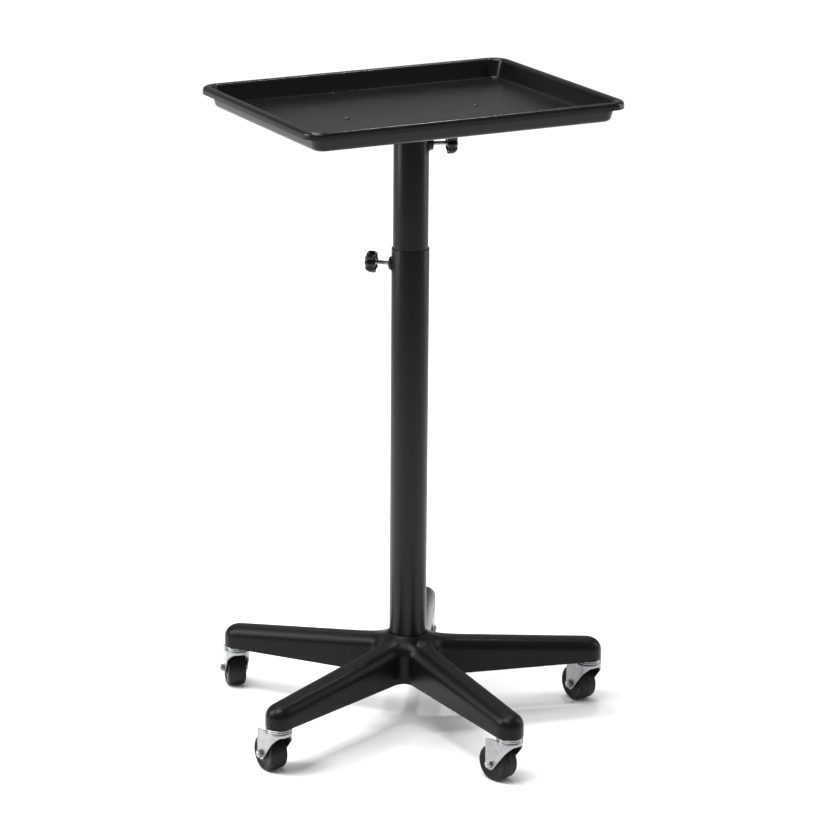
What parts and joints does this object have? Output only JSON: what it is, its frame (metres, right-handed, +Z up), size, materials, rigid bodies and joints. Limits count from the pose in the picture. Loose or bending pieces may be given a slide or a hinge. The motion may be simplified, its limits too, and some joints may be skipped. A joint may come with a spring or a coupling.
{
  "type": "instrument cart",
  "caption": "Rolling instrument cart: a rimmed rectangular tray on a telescopic column with clamp knobs, on a star base with swivel casters.",
  "frame": {"origin": "centre of the whole cart's footprint box, at floor level", "axes": "+Z up; +X along the tray's long side, towards its right-hand end seen from the front; -Y towards the front of the tray"},
  "size_m": [0.5572, 0.563, 0.915],
  "materials": {
    "moulded_base": "black moulded plastic with a fine orange-peel texture, satin",
    "moulded_tray": "black moulded plastic, satin, lightly polished on the floor",
    "knob_plastic": "black moulded plastic, slightly glossy",
    "powder_coat": "black powder coat on steel, satin",
    "zinc_plate": "bright zinc plate on pressed steel",
    "black_screw": "black-coated steel screw with a domed head",
    "wheel": "solid black wheel, matt",
    "glide_plastic": "grey nylon",
    "bare_steel": "plain steel, hidden"
  },
  "bodies": {
    "base": {"star_base": "moulded_base", "lower_tube": "powder_coat", "foot_plug": "bare_steel", "foot_washer": "zinc_plate", "foot_bolt": "zinc_plate", "height_boss": "powder_coat", "caster_1_stem": "zinc_plate", "caster_1_race": "zinc_plate", "caster_2_stem": "zinc_plate", "caster_2_race": "zinc_plate", "caster_3_stem": "zinc_plate", "caster_3_race": "zinc_plate", "caster_4_stem": "zinc_plate", "caster_4_race": "zinc_plate", "caster_5_stem": "zinc_plate", "caster_5_race": "zinc_plate"},
    "mast": {"upper_tube": "powder_coat", "upper_tube_glide": "glide_plastic", "tray_lock_boss": "powder_coat"},
    "tray_top": {"tray": "moulded_tray", "tray_bar": "powder_coat", "tray_post": "bare_steel", "tray_screw_left": "black_screw", "tray_screw_right": "black_screw", "tray_nut_left": "zinc_plate", "tray_nut_right": "zinc_plate"},
    "height_clamp_screw": {"height_screw": "zinc_plate"},
    "height_clamp_knob": {"height_knob": "knob_plastic"},
    "tray_clamp_screw": {"tray_lock_screw": "zinc_plate"},
    "tray_clamp_knob": {"tray_lock_knob": "knob_plastic"},
    "fork_1": {"caster_1_fork": "zinc_plate", "caster_1_bush": "zinc_plate", "caster_1_axle_bolt": "zinc_plate", "caster_1_axle_nut": "zinc_plate"},
    "wheel_1": {"caster_1_wheel": "wheel"},
    "fork_2": {"caster_2_fork": "zinc_plate", "caster_2_bush": "zinc_plate", "caster_2_axle_bolt": "zinc_plate", "caster_2_axle_nut": "zinc_plate"},
    "wheel_2": {"caster_2_wheel": "wheel"},
    "fork_3": {"caster_3_fork": "zinc_plate", "caster_3_bush": "zinc_plate", "caster_3_axle_bolt": "zinc_plate", "caster_3_axle_nut": "zinc_plate"},
    "wheel_3": {"caster_3_wheel": "wheel"},
    "fork_4": {"caster_4_fork": "zinc_plate", "caster_4_bush": "zinc_plate", "caster_4_axle_bolt": "zinc_plate", "caster_4_axle_nut": "zinc_plate"},
    "wheel_4": {"caster_4_wheel": "wheel"},
    "fork_5": {"caster_5_fork": "zinc_plate", "caster_5_bush": "zinc_plate", "caster_5_axle_bolt": "zinc_plate", "caster_5_axle_nut": "zinc_plate"},
    "wheel_5": {"caster_5_wheel": "wheel"}
  },
  "joints": [
    {"name": "mast_slide", "type": "slide", "parent": "base", "child": "mast", "axis": [0, 0, 1], "range_m": [-0.13, 0.28]},
    {"name": "tray_swivel", "type": "hinge", "parent": "mast", "child": "tray_top", "pos_m": [-0.00246, 0.00755, 0.8824], "axis": [0, 0, 1], "continuous": true},
    {"name": "height_knob_turn", "type": "hinge", "parent": "height_clamp_screw", "child": "height_clamp_knob", "pos_m": [-0.00246, 0.00755, 0.6744], "axis": [-0.7337, 0.6794, 0], "range_deg": [0, 720]},
    {"name": "height_screw_travel", "type": "slide", "parent": "base", "child": "height_clamp_screw", "axis": [-0.7337, 0.6794, 0], "range_m": [0, 0.002]},
    {"name": "tray_knob_turn", "type": "hinge", "parent": "tray_clamp_screw", "child": "tray_clamp_knob", "pos_m": [-0.00246, 0.00755, 0.8445], "axis": [0.9521, -0.3057, 0], "range_deg": [0, 720]},
    {"name": "tray_screw_travel", "type": "slide", "parent": "mast", "child": "tray_clamp_screw", "axis": [0.9521, -0.3057, 0], "range_m": [0, 0.002]},
    {"name": "caster_1_swivel", "type": "hinge", "parent": "base", "child": "fork_1", "pos_m": [0.14235, 0.23662, 0.064], "axis": [0, 0, 1], "continuous": true},
    {"name": "wheel_1_spin", "type": "hinge", "parent": "fork_1", "child": "wheel_1", "pos_m": [0.15528, 0.25441, 0.0254], "axis": [-0.809, 0.5878, 0], "continuous": true},
    {"name": "caster_2_swivel", "type": "hinge", "parent": "base", "child": "fork_2", "pos_m": [-0.17557, 0.21606, 0.064], "axis": [0, 0, 1], "continuous": true},
    {"name": "wheel_2_spin", "type": "hinge", "parent": "fork_2", "child": "wheel_2", "pos_m": [-0.16987, 0.23731, 0.0254], "axis": [-0.9659, 0.2588, 0], "continuous": true},
    {"name": "caster_3_swivel", "type": "hinge", "parent": "base", "child": "fork_3", "pos_m": [-0.25426, -0.09265, 0.064], "axis": [0, 0, 1], "continuous": true},
    {"name": "wheel_3_spin", "type": "hinge", "parent": "fork_3", "child": "wheel_3", "pos_m": [-0.25617, -0.07074, 0.0254], "axis": [-0.9962, -0.0872, 0], "continuous": true},
    {"name": "caster_4_swivel", "type": "hinge", "parent": "base", "child": "fork_4", "pos_m": [0.01503, -0.26288, 0.064], "axis": [0, 0, 1], "continuous": true},
    {"name": "wheel_4_spin", "type": "hinge", "parent": "fork_4", "child": "wheel_4", "pos_m": [0.00933, -0.24163, 0.0254], "axis": [-0.9659, -0.2588, 0], "continuous": true},
    {"name": "caster_5_swivel", "type": "hinge", "parent": "base", "child": "fork_5", "pos_m": [0.26014, -0.05939, 0.064], "axis": [0, 0, 1], "continuous": true},
    {"name": "wheel_5_spin", "type": "hinge", "parent": "fork_5", "child": "wheel_5", "pos_m": [0.25746, -0.03755, 0.0254], "axis": [-0.9925, -0.1219, 0], "continuous": true}
  ],
  "couplings": [
    {"joint": "height_knob_turn", "follows": "height_screw_travel", "rad_per_m": 6283.2},
    {"joint": "tray_knob_turn", "follows": "tray_screw_travel", "rad_per_m": 6283.2}
  ]
}
